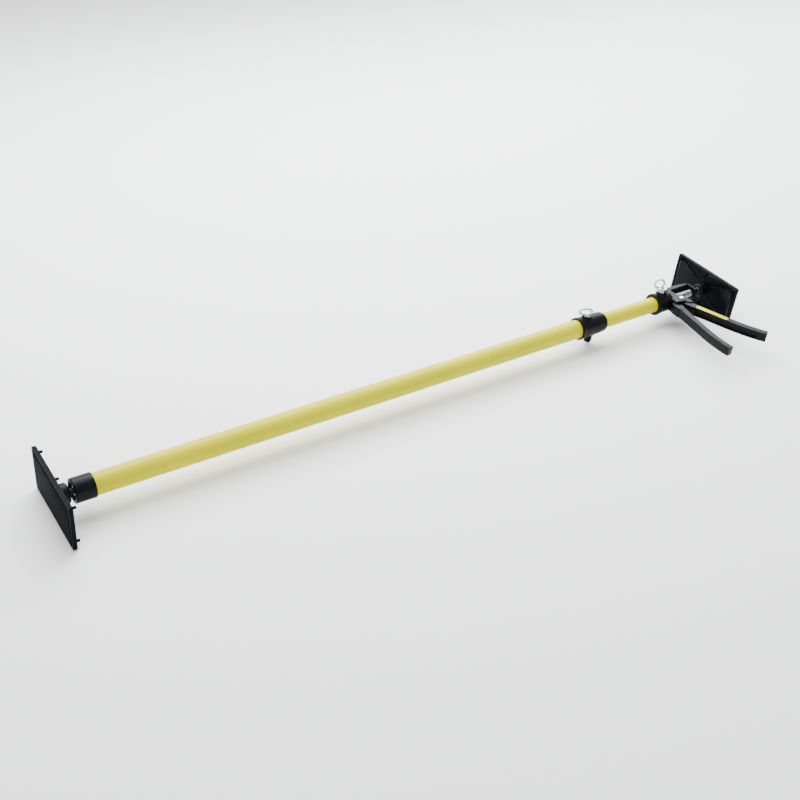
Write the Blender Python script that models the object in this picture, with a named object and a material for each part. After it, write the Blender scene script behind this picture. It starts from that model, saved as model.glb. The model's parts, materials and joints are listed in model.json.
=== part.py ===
"""Telescopic ceiling support rod: two yellow tubes, a clamp collar, a pump grip and two swivel plates.

The pole lies along +X, from the foot pad's face at X = 0 to the top pad's face, and +Z is up.
The levers of the pump grip reach out towards -Y. Lengths below are in millimetres and are turned
into metres when a mesh is made.
"""
from math import asin, cos, hypot, pi, radians, sin, sqrt

import bmesh
import bpy
from mathutils import Matrix, Vector

MM = 0.001
GAP = 0.3                       # clearance between pieces that touch on the real object

# Driving dimensions
OUTER_R = 15.0                  # outer tube, 30 mm across
INNER_R = 12.5                  # inner tube, 25 mm across
TUBE_WALL = 1.1
ROD_R = 4.0
TOTAL_LENGTH = 1136.0           # closed, pad face to pad face
PLATE_Y = 132.0                 # swivel plate, long side
PLATE_Z = 68.0                  # swivel plate, short side
LEVER_Z = 15.0                  # depth of both levers

# Stations along the pole
CAP_START, CAP_END = 26.3, 53.8
OUTER_TUBE_START, OUTER_TUBE_END = 34.7, 884.0
INNER_TUBE_START, INNER_TUBE_END = 62.0, 1040.0
COLLAR_START, COLLAR_END = 848.5, 901.5
COLLAR_SCREW_X = 866.0
COLLAR_BOSS_X = 878.0
SLEEVE_START = 1013.0
HOUSING_SCREW_X = 1027.0
WEB_START, WEB_END = 1040.4, 1045.4
DRIVE_PLATE_X = 1060.0
NOSE_START, NOSE_END = 1099.6, 1105.0
ROD_START, ROD_END = 95.0, 1110.5

# Trigger pivot, and the two levers' centre lines
PIVOT_X, PIVOT_Y = 1058.0, -18.0
TRIGGER_TIP_Y = -155.0
HANDLE_ROOT_X, HANDLE_ROOT_Y = 1044.0, -21.0
HANDLE_TIP_Y = -158.0

ROUND = 32                      # sides of a large round piece
SMALL_ROUND = 16                # sides of a small round piece

MATERIALS = {
    "yellow_paint": ((0.62, 0.56, 0.035), 0.25, 0.0),
    "black_plastic": ((0.012, 0.014, 0.018), 0.42, 0.0),
    "rubber": ((0.045, 0.047, 0.05), 0.85, 0.0),
    "zinc": ((0.62, 0.65, 0.66), 0.28, 1.0),
    "steel": ((0.50, 0.51, 0.52), 0.35, 1.0),
    "black_steel": ((0.03, 0.03, 0.033), 0.38, 1.0),
    "brass": ((0.70, 0.52, 0.22), 0.35, 1.0),
    "nylon": ((0.70, 0.69, 0.64), 0.50, 0.0),
    "yellow_inlay": ((0.68, 0.66, 0.04), 0.35, 0.0),
}


def clear_scene():
    for obj in list(bpy.data.objects):
        bpy.data.objects.remove(obj, do_unlink=True)


def material(slot):
    found = bpy.data.materials.get(slot)
    if found:
        return found
    colour, roughness, metallic = MATERIALS[slot]
    made = bpy.data.materials.new(slot)
    made.use_nodes = True
    shader = made.node_tree.nodes["Principled BSDF"]
    shader.inputs["Base Color"].default_value = (*colour, 1.0)
    shader.inputs["Roughness"].default_value = roughness
    shader.inputs["Metallic"].default_value = metallic
    made.diffuse_color = (*colour, 1.0)
    return made


def add_object(name, bm, slot, origin=(0, 0, 0), smooth=True):
    """Turns a bmesh in millimetres into an object whose origin is the given point, in millimetres."""
    bmesh.ops.recalc_face_normals(bm, faces=bm.faces)
    bm.transform(Matrix.Translation([-value for value in origin]))
    bm.transform(Matrix.Scale(MM, 4))
    mesh = bpy.data.meshes.new(name)
    bm.to_mesh(mesh)
    bm.free()
    if smooth:
        mesh.shade_smooth()
        mesh.set_sharp_from_angle(angle=radians(35))
    obj = bpy.data.objects.new(name, mesh)
    obj.location = [value * MM for value in origin]
    mesh.materials.append(material(slot))
    bpy.context.scene.collection.objects.link(obj)
    return obj


def guide(obj):
    """Marks an object as a cutter or a piece of another object."""
    obj.hide_render = True
    obj.display_type = "WIRE"
    return obj


def boolean(target, other, operation="DIFFERENCE"):
    change = target.modifiers.new(f"{operation.lower()}_{other.name}", "BOOLEAN")
    change.operation = operation
    change.solver = "EXACT"
    change.object = guide(other)
    return target


def bevel(obj, width, segments=1, angle=40):
    change = obj.modifiers.new("edge_bevel", "BEVEL")
    change.width = width * MM
    change.segments = segments
    change.limit_method = "ANGLE"
    change.angle_limit = radians(angle)
    return obj


# Basic shapes, as bmeshes in millimetres ---------------------------------------------------------

AXIS_TURN = {
    "X": Matrix.Identity(4),
    "Z": Matrix.Rotation(radians(-90), 4, "Y"),
}


def turned(outline, axis="X", centre=(0, 0, 0), sides=ROUND):
    """Solid of revolution. The outline is (along, radius) points: closed, or with both ends on the axis."""
    bm = bmesh.new()
    points = [bm.verts.new((along, 0, radius)) for along, radius in outline]
    edges = [bm.edges.new(pair) for pair in zip(points, points[1:])]
    if outline[0][1] > 0 or outline[-1][1] > 0:
        edges.append(bm.edges.new((points[-1], points[0])))
    bmesh.ops.spin(bm, geom=points + edges, cent=(0, 0, 0), axis=(1, 0, 0), angle=2 * pi, steps=sides)
    bmesh.ops.remove_doubles(bm, verts=bm.verts, dist=0.001)
    bm.transform(Matrix.Translation(centre) @ AXIS_TURN[axis])
    return bm


def cylinder(start, end, radius, axis="X", centre=(0, 0, 0), sides=SMALL_ROUND):
    """Round bar, turned by a few degrees so that a cut's edges miss the corners of the shape it cuts."""
    bm = turned([(start, 0), (start, radius), (end, radius), (end, 0)], sides=sides)
    bm.transform(Matrix.Translation(centre) @ AXIS_TURN[axis] @ Matrix.Rotation(radians(5), 4, "X"))
    return bm


def washer(start, end, hole, radius, axis="X", centre=(0, 0, 0), sides=SMALL_ROUND):
    outline = [(start, hole), (start, radius), (end, radius), (end, hole)]
    return turned(outline, axis, centre, sides)


def block(low, high):
    bm = bmesh.new()
    bmesh.ops.create_cube(bm, size=1)
    size = Vector(high) - Vector(low)
    middle = (Vector(high) + Vector(low)) / 2
    bm.transform(Matrix.Translation(middle) @ Matrix.Diagonal((*size, 1)))
    return bm


def extruded(outline, low_z, high_z):
    """A flat outline in X and Y, given depth along Z."""
    bm = bmesh.new()
    face = bm.faces.new([bm.verts.new((x, y, low_z)) for x, y in outline])
    lifted = bmesh.ops.extrude_face_region(bm, geom=[face])
    verts = [item for item in lifted["geom"] if isinstance(item, bmesh.types.BMVert)]
    bmesh.ops.translate(bm, verts=verts, vec=(0, 0, high_z - low_z))
    return bm


def rounded_rectangle(half_y, half_z, radius, steps=3):
    """Points round a rectangle with round corners, as (y, z)."""
    points = []
    for corner, (sign_y, sign_z) in enumerate(((1, 1), (-1, 1), (-1, -1), (1, -1))):
        for step in range(steps + 1):
            angle = (corner + step / steps) * pi / 2
            y = sign_y * (half_y - radius) + radius * cos(angle)
            z = sign_z * (half_z - radius) + radius * sin(angle)
            points.append((y, z))
    return points


def stacked(sections, steps=3):
    """Solid through rounded rectangles along X: each section is (x, half_y, half_z, corner radius)."""
    bm = bmesh.new()
    rings = []
    for x, half_y, half_z, radius in sections:
        points = rounded_rectangle(half_y, half_z, radius, steps)
        rings.append([bm.verts.new((x, y, z)) for y, z in points])
    count = len(rings[0])
    for lower, upper in zip(rings, rings[1:]):
        for index in range(count):
            following = (index + 1) % count
            bm.faces.new((lower[index], lower[following], upper[following], upper[index]))
    bm.faces.new(rings[0])
    bm.faces.new(rings[-1])
    return bm


def swept(path, normals, radius, sides, closed):
    """Round wire along a path. Each normal stands square to the path at its point."""
    bm = bmesh.new()
    rings = []
    for index, (point, normal) in enumerate(zip(path, normals)):
        before = path[index - 1] if index or closed else point
        after = path[(index + 1) % len(path)] if closed or index < len(path) - 1 else point
        forward = (after - before).normalized()
        side = forward.cross(normal).normalized()
        square = side.cross(forward)
        ring = []
        for turn in range(sides):
            angle = 2 * pi * turn / sides
            ring.append(bm.verts.new(point + radius * (cos(angle) * square + sin(angle) * side)))
        rings.append(ring)
    pairs = list(zip(rings, rings[1:]))
    if closed:
        pairs.append((rings[-1], rings[0]))
    for lower, upper in pairs:
        for index in range(sides):
            following = (index + 1) % sides
            bm.faces.new((lower[index], lower[following], upper[following], upper[index]))
    if not closed:
        bm.faces.new(rings[0])
        bm.faces.new(rings[-1])
    return bm


def hexagon(across_flats):
    corner = across_flats / sqrt(3)
    return [(corner * cos(k * pi / 3), corner * sin(k * pi / 3)) for k in range(6)]


# Swivel plates -----------------------------------------------------------------------------------

PAD_THICK = 3.0
PLATE_FRONT = 1.0               # the rim stands this far behind the pad's face
PLATE_BACK = 6.5
PLATE_RIM = 3.4
PLATE_TOP = 9.0                 # the back rises to the hub here
PEG_R, PEG_END = 1.9, 12.5
PEG_PLACES = [(y, z) for y in (-58.0, 0.0, 58.0) for z in (-27.0, 27.0)]


def mirrored_x(bm, face_x, direction):
    """Puts a piece, made with its pad face at x = 0, on the pole's foot (+1) or top (-1)."""
    bm.transform(Matrix.Translation((face_x, 0, 0)) @ Matrix.Diagonal((direction, 1, 1, 1)))
    return bm


def plate_assembly(end, face_x, direction, ball_r, ball_x, hub_r, screw_y):
    def place(name, bm, slot, smooth=True):
        return add_object(f"{end}_{name}", mirrored_x(bm, face_x, direction), slot, pivot, smooth)

    pivot = (face_x + direction * ball_x, 0, 0)
    recess_y, recess_z = PLATE_Y / 2 - PLATE_RIM, PLATE_Z / 2 - PLATE_RIM
    floor = PAD_THICK + GAP

    plate = place("plate", stacked([
        (floor, recess_y, recess_z, 1.5),
        (PLATE_FRONT, recess_y, recess_z, 1.5),
        (PLATE_FRONT, PLATE_Y / 2 - 0.6, PLATE_Z / 2 - 0.6, 2.0),
        (PLATE_FRONT + 0.6, PLATE_Y / 2, PLATE_Z / 2, 2.5),
        (PLATE_BACK, PLATE_Y / 2, PLATE_Z / 2, 2.5),
        (PLATE_BACK, PLATE_Y / 2 - 2.4, PLATE_Z / 2 - 2.4, 2.0),
        (PLATE_BACK - 1.2, PLATE_Y / 2 - 2.6, PLATE_Z / 2 - 2.6, 2.0),
        (PLATE_TOP, hub_r + 1.5, hub_r + 1.5, 2.0),
    ]), "black_plastic", smooth=False)
    pad = place("pad", stacked([
        (0, recess_y - GAP - 0.6, recess_z - GAP - 0.6, 1.2),
        (0.6, recess_y - GAP, recess_z - GAP, 1.4),
        (PAD_THICK, recess_y - GAP, recess_z - GAP, 1.4),
    ]), "rubber", smooth=False)
    for number, (y, z) in enumerate(PEG_PLACES, 1):
        hole = cylinder(0.5, 14, PEG_R + GAP, centre=(0, y, z), sides=10)
        boolean(plate, place(f"peg_hole_{number}", hole, "rubber"))
        peg = cylinder(PAD_THICK - 1, PEG_END, PEG_R, centre=(0, y, z), sides=10)
        boolean(pad, place(f"peg_{number}", peg, "rubber"), "UNION")

    cavity = ball_r + 0.2
    socket_start = PLATE_TOP + GAP
    lip = 0.375 * ball_r

    def cavity_radius(x):
        return sqrt(cavity ** 2 - (x - ball_x) ** 2)

    bowl = [ball_x - cavity * cos(angle * pi / 180) for angle in (22, 40, 60, 80, 100)]
    bowl = [x for x in bowl if socket_start + 0.4 < x < ball_x + lip]
    inner = [(x, cavity_radius(x)) for x in [socket_start, *bowl, ball_x + lip]]
    socket_end = ball_x + lip + 1.5
    outline = inner + [
        (socket_end, cavity_radius(ball_x + lip) + 1.8),
        (socket_end, hub_r - 2.0),
        (socket_end - 2.0, hub_r),
        (socket_start, hub_r),
    ]
    socket = place("socket", turned(outline, sides=24), "black_plastic")

    for side in (-1, 1):
        centre = (0, side * screw_y, 0)
        name = f"socket_screw_{'near' if side < 0 else 'far'}"
        through = cylinder(1, 17.5, 1.2 + GAP, centre=centre, sides=12)
        through = place(f"{name}_hole", through, "steel")
        boolean(plate, through)
        boolean(socket, through)
        sink = cylinder(1, 5.6, 2.6 + GAP, centre=centre, sides=16)
        boolean(plate, place(f"{name}_sink", sink, "steel"))
        screw = [(3.6, 0), (3.6, 2.2), (4.0, 2.6), (5.2, 2.6), (5.2, 1.2), (17.0, 1.2), (17.0, 0)]
        place(name, turned(screw, centre=centre, sides=12), "steel")


def ball_outline(ball_x, ball_r, neck_r):
    """Half circle of the ball, from its front pole to where the neck leaves it."""
    last = pi - asin(neck_r / ball_r)
    steps = 9
    return [(ball_x - ball_r * cos(last * k / steps), ball_r * sin(last * k / steps))
            for k in range(steps + 1)]


FOOT_BALL_R, FOOT_BALL_X = 8.0, 17.0
TOP_BALL_R, TOP_BALL_X = 6.5, 15.8


def foot_end():
    plate_assembly("foot", 0.0, 1, FOOT_BALL_R, FOOT_BALL_X, hub_r=14.0, screw_y=10.8)
    neck_r = 4.0
    pivot = (FOOT_BALL_X, 0, 0)
    stud = ball_outline(FOOT_BALL_X, FOOT_BALL_R, neck_r)
    stud += [(28.4, neck_r), (28.4, 6.5), (30.0, 6.5), (30.0, neck_r), (42.0, neck_r), (42.6, 3.4), (42.6, 0)]
    add_object("foot_ball_stud", turned(stud, sides=20), "black_steel", pivot)

    nut = extruded(hexagon(13.0), 35.0, 41.0)
    nut.transform(AXIS_TURN["Z"].inverted())
    bore = add_object("foot_nut_bore", cylinder(30, 46, neck_r + GAP), "zinc")
    boolean(add_object("foot_stud_nut", nut, "zinc", smooth=False), bore)

    cap_r = 16.7
    web, seat = 30.3, OUTER_TUBE_START - GAP
    cap = [
        (web, neck_r + GAP), (web, 11.4), (CAP_START + 0.5, 12.4), (CAP_START, 13.0),
        (CAP_START, 15.4), (CAP_START + 0.5, 16.3), (CAP_START + 1.4, cap_r),
        (CAP_END - 0.8, cap_r), (CAP_END, cap_r - 0.6), (CAP_END, OUTER_R + GAP),
        (seat, OUTER_R + GAP), (seat, neck_r + GAP),
    ]
    add_object("foot_end_cap", turned(cap), "black_plastic")


# Tubes and collar --------------------------------------------------------------------------------

SCREW_R = 3.0                   # clamp screws' shanks
INSERT_R = 4.6                  # threaded inserts


def tubes():
    tube = washer(OUTER_TUBE_START, OUTER_TUBE_END, OUTER_R - TUBE_WALL, OUTER_R, sides=ROUND)
    outer = add_object("outer_tube", tube, "yellow_paint")
    shoe_hole = cylinder(5, 20, INSERT_R + 0.6, "Z", (COLLAR_SCREW_X, 0, 0), sides=16)
    boolean(outer, add_object("shoe_hole", shoe_hole, "zinc"))
    fixing_hole = cylinder(-20, -5, 2.1, "Z", (COLLAR_BOSS_X, 0, 0), sides=12)
    boolean(outer, add_object("fixing_hole", fixing_hole, "zinc"))

    tube = washer(INNER_TUBE_START, INNER_TUBE_END, INNER_R - TUBE_WALL, INNER_R, sides=ROUND)
    add_object("inner_tube", tube, "yellow_paint")

    bush_r = OUTER_R - TUBE_WALL - GAP
    lip = INNER_TUBE_START - GAP
    bush = [
        (lip - 2.5, 10.2), (lip - 2.5, bush_r - 0.8), (lip - 1.7, bush_r), (lip + 24, bush_r),
        (lip + 24, INNER_R + GAP), (lip, INNER_R + GAP), (lip, 10.2),
    ]
    add_object("inner_guide_bush", turned(bush, sides=24), "nylon")


def collar():
    body = [
        (COLLAR_START, OUTER_R + GAP), (COLLAR_START, 17.2), (COLLAR_START + 0.8, 18.0),
        (COLLAR_START + 5, 18.0), (COLLAR_START + 6.5, 17.3), (COLLAR_START + 38, 16.9),
        (COLLAR_END - 3, 15.8), (COLLAR_END - 0.8, 15.0), (COLLAR_END, 14.2),
        (COLLAR_END, INNER_R + GAP), (OUTER_TUBE_END + GAP, INNER_R + GAP),
        (OUTER_TUBE_END + GAP, OUTER_R + GAP),
    ]
    collar_body = add_object("collar_body", turned(body), "black_plastic")
    parts = {
        "collar_top_boss": turned(
            [(15.6, 0), (15.6, 8.0), (19.0, 7.4), (20.2, 6.6), (20.2, 0)], "Z", (COLLAR_SCREW_X, 0, 0), 24),
        "collar_low_boss": turned(
            [(-30.5, 0), (-30.5, 5.4), (-29.6, 6.2), (-15.5, 6.8), (-15.5, 0)],
            "Z", (COLLAR_BOSS_X, 0, 0), 24),
        "collar_gusset": block((COLLAR_BOSS_X, -3.0, -16.4), (COLLAR_BOSS_X + 18, 3.0, -15.5)),
    }
    gusset = parts["collar_gusset"]
    for vert in gusset.verts:
        if vert.co.z < -16 and vert.co.x < COLLAR_BOSS_X + 1:
            vert.co.z = -26.5
    for name, bm in parts.items():
        boolean(collar_body, add_object(name, bm, "black_plastic"), "UNION")
    cutters = {
        "collar_insert_hole": cylinder(13.0, 22, INSERT_R + GAP, "Z", (COLLAR_SCREW_X, 0, 0)),
        "collar_fixing_hole": cylinder(-33, -13.0, 2.1, "Z", (COLLAR_BOSS_X, 0, 0)),
        "collar_fixing_sink": cylinder(-33, -28.0, 3.8, "Z", (COLLAR_BOSS_X, 0, 0)),
    }
    for name, bm in cutters.items():
        boolean(collar_body, add_object(name, bm, "black_plastic"))

    place = (COLLAR_SCREW_X, 0, 0)
    add_object("collar_insert", washer(16.6, 19.9, SCREW_R + GAP, INSERT_R, "Z", place), "brass", place)
    add_object("pressure_shoe", cylinder(12.9, 16.2, INSERT_R, "Z", place), "nylon", place)
    wing_screw("collar_wing_screw", COLLAR_SCREW_X, tip=16.5, base=20.6, base_r=4.6, base_top=22.6,
               loop_z=27.7, half_x=10.4, half_z=5.2, shift=3.6)

    place = (COLLAR_BOSS_X, 0, 0)
    fixing = [(-30.2, 0), (-30.2, 2.6), (-29.6, 3.4), (-28.3, 3.4), (-28.3, 1.8), (-13.4, 1.8), (-13.4, 0)]
    add_object("collar_fixing_screw", turned(fixing, "Z", place, SMALL_ROUND), "zinc", place)


WING_TURN = -28                 # degrees that both wings stand turned away from the X-Z plane
LOOP_R = 1.8                    # wire of the wings


def wing_screw(name, x, tip, base, base_r, base_top, loop_z, half_x, half_z, shift=0.0, six_sided=False):
    """Clamp screw whose wing is a closed loop of wire. The loop's middle may be shifted back off the axis."""
    place = (x, 0, 0)
    shank = cylinder(tip, base_top - 0.5, SCREW_R, "Z", place)
    screw = add_object(name, shank, "zinc", place)
    if six_sided:
        head = extruded([(x + px, py) for px, py in hexagon(base_r * 2)], base, base_top)
    else:
        head = cylinder(base, base_top, base_r, "Z", place)
    boolean(screw, add_object(f"{name}_head", head, "zinc", place, smooth=False), "UNION")
    count = 18
    turn = Matrix.Rotation(radians(WING_TURN), 3, "Z")
    middle = Vector((x, 0, loop_z)) + turn @ Vector((-shift, 0, 0))
    path, normals = [], []
    for index in range(count):
        angle = 2 * pi * index / count
        path.append(middle + turn @ Vector((half_x * cos(angle), 0, half_z * sin(angle))))
        normals.append((turn @ Vector((cos(angle) / half_x, 0, sin(angle) / half_z))).normalized())
    loop = swept(path, normals, LOOP_R, 6, closed=True)
    boolean(screw, add_object(f"{name}_loop", loop, "zinc", place), "UNION")


# Pump grip ---------------------------------------------------------------------------------------

def lever_outline(root_x, root_y, tip_y, slope, curl, half_width, start=0.0):
    """Outline of a lever that runs from its root towards -Y and curls towards +X at its tip."""
    length = root_y - tip_y
    steps = 14
    left, right = [], []
    for index in range(steps + 1):
        along = start + (length - start) * index / steps
        bend = max(0.0, (along / length - 0.6) / 0.4)
        x = root_x + slope * along + curl * bend ** 2
        lean = slope + curl * 2 * bend / (0.4 * length)
        scale = 1 / hypot(1, lean)
        half = half_width(along / length)
        left.append((x - half * scale, root_y - along - half * lean * scale))
        right.append((x + half * scale, root_y - along + half * lean * scale))
    return right + left[::-1]


def handle_half_width(part):
    return 5.0 + 2.4 * max(0.0, 1 - part / 0.3) ** 1.5


def trigger_half_width(part):
    return 5.6 + 1.6 * max(0.0, 1 - part / 0.35)


TRIGGER_SLOPE, TRIGGER_CURL = 0.36, 8.0
HANDLE_SLOPE, HANDLE_CURL = -0.16, 7.0
CHEEK_IN, CHEEK_OUT = 9.4, 11.4


def housing():
    sleeve = [
        (SLEEVE_START, INNER_R + GAP), (SLEEVE_START, 17.0), (SLEEVE_START + 0.8, 18.0),
        (SLEEVE_START + 6, 18.0), (SLEEVE_START + 7.5, 16.8), (WEB_END - 0.6, 16.2),
        (WEB_END - 0.6, ROD_R), (WEB_START, ROD_R), (WEB_START, INNER_R + GAP),
    ]
    body = add_object("housing", turned(sleeve), "black_plastic")
    frame = extruded([
        (1041.0, 15.0), (1046.0, 17.5), (1086.0, 16.5), (1099.0, 14.0), (NOSE_END, 8.0),
        (NOSE_END, -9.0), (NOSE_START, -9.0), (NOSE_START, 8.6), (1059.0, 8.6), (1059.0, -9.0),
        (1066.0, -14.0), (1066.6, -20.0), (1063.0, -25.0), (1056.0, -27.0), (1041.0, -24.0),
    ], -CHEEK_OUT, CHEEK_OUT)
    handle = extruded(lever_outline(HANDLE_ROOT_X, HANDLE_ROOT_Y, HANDLE_TIP_Y, HANDLE_SLOPE,
                                    HANDLE_CURL, handle_half_width), -LEVER_Z / 2, LEVER_Z / 2)
    boss = turned([(13.5, 0), (13.5, 8.8), (21.5, 8.4), (22.8, 7.4), (22.8, 0)], "Z",
                  (HOUSING_SCREW_X, 0, 0), 24)
    boolean(body, add_object("housing_frame", frame, "black_plastic", smooth=False), "UNION")
    boolean(body, bevel(add_object("fixed_handle", handle, "black_plastic"), 1.6, 2), "UNION")
    boolean(body, add_object("housing_boss", boss, "black_plastic"), "UNION")
    cutters = {
        "housing_channel": block((WEB_END, -28, -CHEEK_IN), (NOSE_START, 8.6, CHEEK_IN)),
        "housing_insert_hole": cylinder(11.0, 24, INSERT_R + GAP, "Z", (HOUSING_SCREW_X, 0, 0)),
        "housing_pin_hole": cylinder(-14, 14, 2.5 + GAP, "Z", (PIVOT_X, PIVOT_Y, 0)),
        "housing_tab_slot": block((1045.6, 5, -5.2), (1053.6, 20, 5.2)),
        "housing_nose_hole": cylinder(1098, 1107, 6.8),
        "housing_rod_bore": cylinder(WEB_START - 1, WEB_END + 1, ROD_R + 0.6),
    }
    for name, bm in cutters.items():
        boolean(body, add_object(name, bm, "black_plastic"))

    place = (HOUSING_SCREW_X, 0, 0)
    add_object("housing_insert", washer(14.6, 22.5, SCREW_R + GAP, INSERT_R, "Z", place), "brass", place)
    wing_screw("housing_wing_screw", HOUSING_SCREW_X, tip=12.9, base=23.2, base_r=8.0, base_top=29.4,
               loop_z=36.2, half_x=7.8, half_z=7.8, shift=6.5, six_sided=True)

    bush = [
        (NOSE_START - 1.2, ROD_R + GAP), (NOSE_START - 1.2, 8.0), (NOSE_START - GAP, 8.0),
        (NOSE_START - GAP, 6.5), (NOSE_END, 6.5), (NOSE_END, ROD_R + GAP),
    ]
    add_object("rod_guide_bush", turned(bush, sides=20), "black_plastic")

    pin = [
        (-12.9, 0), (-12.9, 3.4), (-12.4, 4.0), (-CHEEK_OUT - GAP, 4.0), (-CHEEK_OUT - GAP, 2.5),
        (CHEEK_OUT + GAP, 2.5), (CHEEK_OUT + GAP, 4.0), (12.4, 4.0), (12.9, 3.4), (12.9, 0),
    ]
    place = (PIVOT_X, PIVOT_Y, 0)
    add_object("trigger_pin", turned(pin, "Z", place, SMALL_ROUND), "zinc", place)


CAM_X, CAM_Y, CAM_R = 1056.5, -3.0, 3.0
CAM_Z = 18.0                    # depth of the cam, between the cheeks


def trigger():
    """Lever with a forked cam: the cam reaches past the rod on both sides, behind the drive plate."""
    place = (PIVOT_X, PIVOT_Y, 0)
    outline = lever_outline(PIVOT_X, PIVOT_Y, TRIGGER_TIP_Y, TRIGGER_SLOPE, TRIGGER_CURL,
                            trigger_half_width)
    lever = extruded(outline, -LEVER_Z / 2, LEVER_Z / 2)
    body = bevel(add_object("trigger", lever, "black_plastic", place), 1.0, 2)
    cam = extruded([
        (CAM_X - CAM_R, CAM_Y - 2.0), (CAM_X - 1.8, CAM_Y + 2.4), (CAM_X, CAM_Y + CAM_R),
        (CAM_X + 2.0, CAM_Y + 2.2), (CAM_X + CAM_R, CAM_Y), (CAM_X + 2.6, CAM_Y - 3.0),
        (PIVOT_X + 5.0, PIVOT_Y + 3.4), (PIVOT_X + 12.0, PIVOT_Y + 1.5), (PIVOT_X + 14.0, PIVOT_Y - 6.0),
        (PIVOT_X + 12.5, PIVOT_Y - 17.0), (PIVOT_X + 5.8, PIVOT_Y - 12.0), (PIVOT_X - 5.8, PIVOT_Y - 2.0),
        (PIVOT_X - 5.6, PIVOT_Y + 2.0),
    ], -CAM_Z / 2, CAM_Z / 2)
    boolean(body, add_object("trigger_cam", cam, "black_plastic", place, smooth=False), "UNION")
    cutters = {
        "trigger_fork": block((1040, -9.5, -ROD_R - 0.7), (1075, 6, ROD_R + 0.7)),
        "trigger_bore": cylinder(-14, 14, 2.5 + GAP, "Z", place),
        "trigger_recess": inlay_shape(0.0, LEVER_Z / 2 - 0.6, LEVER_Z / 2 + 0.6),
    }
    for name, bm in cutters.items():
        boolean(body, add_object(name, bm, "black_plastic", place))
    inlay = inlay_shape(GAP, LEVER_Z / 2 - 0.6 + GAP, LEVER_Z / 2 + 0.1)
    add_object("trigger_inlay", inlay, "yellow_inlay", place)


def inlay_shape(inset, low_z, high_z):
    """Long oval that follows the trigger's centre line on its upper face."""
    length, reach = PIVOT_Y - TRIGGER_TIP_Y, 4.2
    first, last, half = 0.19 * length, 0.58 * length, reach - inset
    points = []
    direction = Vector((TRIGGER_SLOPE, -1.0)).normalized()
    across = Vector((-direction.y, direction.x))
    for centre_along, start in ((last - reach, -90), (first + reach, 90)):
        centre = Vector((PIVOT_X, PIVOT_Y)) + Vector((TRIGGER_SLOPE, -1.0)) * centre_along
        for step in range(7):
            angle = radians(start + 30 * step)
            points.append(tuple(centre + half * (cos(angle) * direction + sin(angle) * across)))
    return extruded(points, low_z, high_z)


def drive_parts():
    plate = block((DRIVE_PLATE_X, -8.0, -8.6), (DRIVE_PLATE_X + 2.0, 8.0, 8.6))
    plate = bevel(add_object("drive_plate", plate, "zinc", (DRIVE_PLATE_X, 0, 0)), 0.4)
    rod_hole = add_object("drive_plate_hole", cylinder(1055, 1066, ROD_R + GAP), "zinc")
    boolean(plate, rod_hole)

    brake = block((1047.5, -8.2, -8.6), (1049.5, 8.0, 8.6))
    hinge = (1048.5, -8.2, 0)
    plate = bevel(add_object("brake_plate", brake, "zinc", hinge), 0.4)
    tab = block((1047.6, 7.0, -4.4), (1049.4, 23.0, 4.4))
    boolean(plate, add_object("brake_tab", tab, "zinc", hinge), "UNION")
    boolean(plate, add_object("brake_plate_hole", cylinder(1044, 1053, ROD_R + 0.7), "zinc"))
    wave = washer(1045.7, 1047.1, 5.0, 7.4)
    add_object("brake_spring", wave, "steel")

    wire_r, coil_r = 0.75, 5.3
    start, end = DRIVE_PLATE_X + 2.0 + GAP + wire_r, NOSE_START - 1.2 - GAP - wire_r
    turns, per_turn = 10, 8
    path, normals = [], []
    for index in range(turns * per_turn + 1):
        angle = 2 * pi * index / per_turn
        along = start + (end - start) * index / (turns * per_turn)
        outward = Vector((0, cos(angle), sin(angle)))
        path.append(Vector((along, 0, 0)) + coil_r * outward)
        normals.append(outward)
    add_object("return_spring", swept(path, normals, wire_r, 5, closed=False), "zinc")


def rod_and_top():
    rod = [
        (ROD_START, 0), (ROD_START, ROD_R - 0.6), (ROD_START + 0.6, ROD_R), (ROD_END, ROD_R), (ROD_END, 0),
    ]
    add_object("pump_rod", turned(rod, sides=24), "steel")
    stop = washer(ROD_START + 2, ROD_START + 10, ROD_R + GAP, INNER_R - TUBE_WALL - 0.5, sides=20)
    add_object("rod_stop", stop, "nylon")

    plate_assembly("top", TOTAL_LENGTH, -1, TOP_BALL_R, TOP_BALL_X, hub_r=11.2, screw_y=8.9)
    neck_r = 3.2
    stud = ball_outline(TOP_BALL_X, TOP_BALL_R, neck_r)
    stud += [(24.0, neck_r), (24.6, 5.6), (25.2, 6.2), (30.2, 6.2), (30.2, ROD_R + GAP),
             (TOTAL_LENGTH - ROD_END - GAP, ROD_R + GAP), (TOTAL_LENGTH - ROD_END - GAP, 0)]
    bm = mirrored_x(turned(stud, sides=20), TOTAL_LENGTH, -1)
    add_object("top_ball_stud", bm, "black_steel", (TOTAL_LENGTH - TOP_BALL_X, 0, 0))


clear_scene()
foot_end()
tubes()
collar()
housing()
trigger()
drive_parts()
rod_and_top()
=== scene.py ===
"""Looks of the telescopic ceiling support rod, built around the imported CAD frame.

Lengths are in millimetres and are turned into metres when a mesh is made. The pole lies along +X,
the levers reach towards -Y, and +Z is up.
"""
import json
from math import acos, asin, cos, hypot, pi, radians, sin, sqrt, tan

import bmesh
import bpy
from mathutils import Matrix, Vector

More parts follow.
